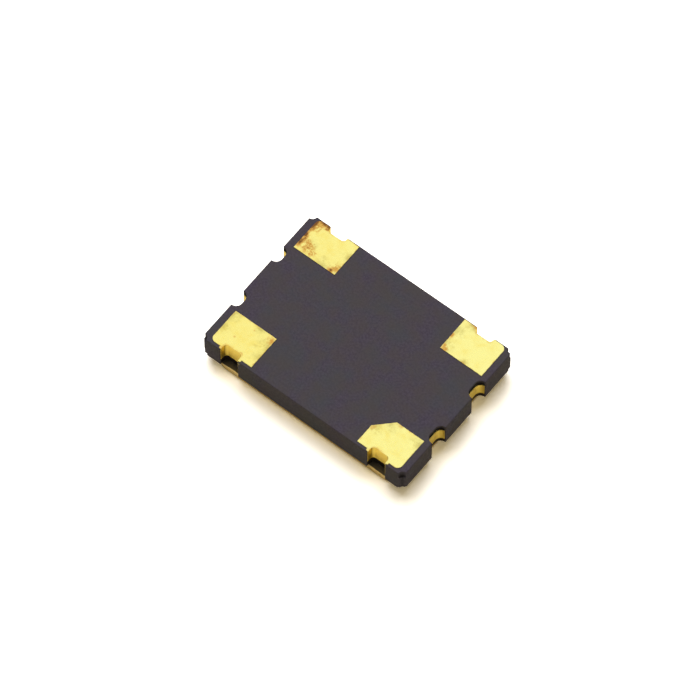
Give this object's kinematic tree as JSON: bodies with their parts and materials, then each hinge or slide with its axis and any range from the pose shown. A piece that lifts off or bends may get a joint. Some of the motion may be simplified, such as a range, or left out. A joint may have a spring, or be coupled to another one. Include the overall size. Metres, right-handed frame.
{
  "type": "crystal oscillator",
  "caption": "Flat black ceramic surface-mount oscillator with castellated sides, gold solder pads and a welded metal lid over a quartz blank and its chip.",
  "frame": {"origin": "on the lid's outer face, below the middle of the body, where the part rests with its solder pads up", "axes": "+X along the body, +Y across it away from the pad with the cut corner, +Z from the lid to the solder pads"},
  "size_m": [0.007, 0.005, 0.0012],
  "materials": {
    "black_alumina": "matt, fine grained",
    "pad_gold": "satin, lightly tarnished",
    "ring_gold": "satin",
    "inner_gold": "bright",
    "lid_nickel": "satin nickel plate",
    "silver_braze": "dull",
    "silicon": "polished",
    "silver_adhesive": "dull",
    "quartz": "lapped",
    "electrode_silver": "bright film"
  },
  "bodies": {
    "root": {"ceramic_base": "black_alumina", "ring_braze": "silver_braze", "seal_ring": "ring_gold", "lid": "lid_nickel", "solder_pad_1": "pad_gold", "solder_pad_2": "pad_gold", "solder_pad_3": "pad_gold", "solder_pad_4": "pad_gold", "side_contact_1": "pad_gold", "side_contact_2": "pad_gold", "side_contact_3": "pad_gold", "side_contact_4": "pad_gold", "die_paddle": "inner_gold", "die_attach": "silver_adhesive", "oscillator_chip": "silicon", "bond_finger_1": "inner_gold", "bond_finger_2": "inner_gold", "bond_finger_3": "inner_gold", "bond_finger_4": "inner_gold", "bond_finger_5": "inner_gold", "bond_finger_6": "inner_gold", "bond_wire_1": "inner_gold", "bond_wire_2": "inner_gold", "bond_wire_3": "inner_gold", "bond_wire_4": "inner_gold", "bond_wire_5": "inner_gold", "bond_wire_6": "inner_gold", "crystal_pad_1": "inner_gold", "crystal_pad_2": "inner_gold", "adhesive_dot_1": "silver_adhesive", "adhesive_dot_2": "silver_adhesive", "quartz_blank": "quartz", "chip_side_electrode": "electrode_silver", "lid_side_electrode": "electrode_silver"}
  },
  "joints": []
}
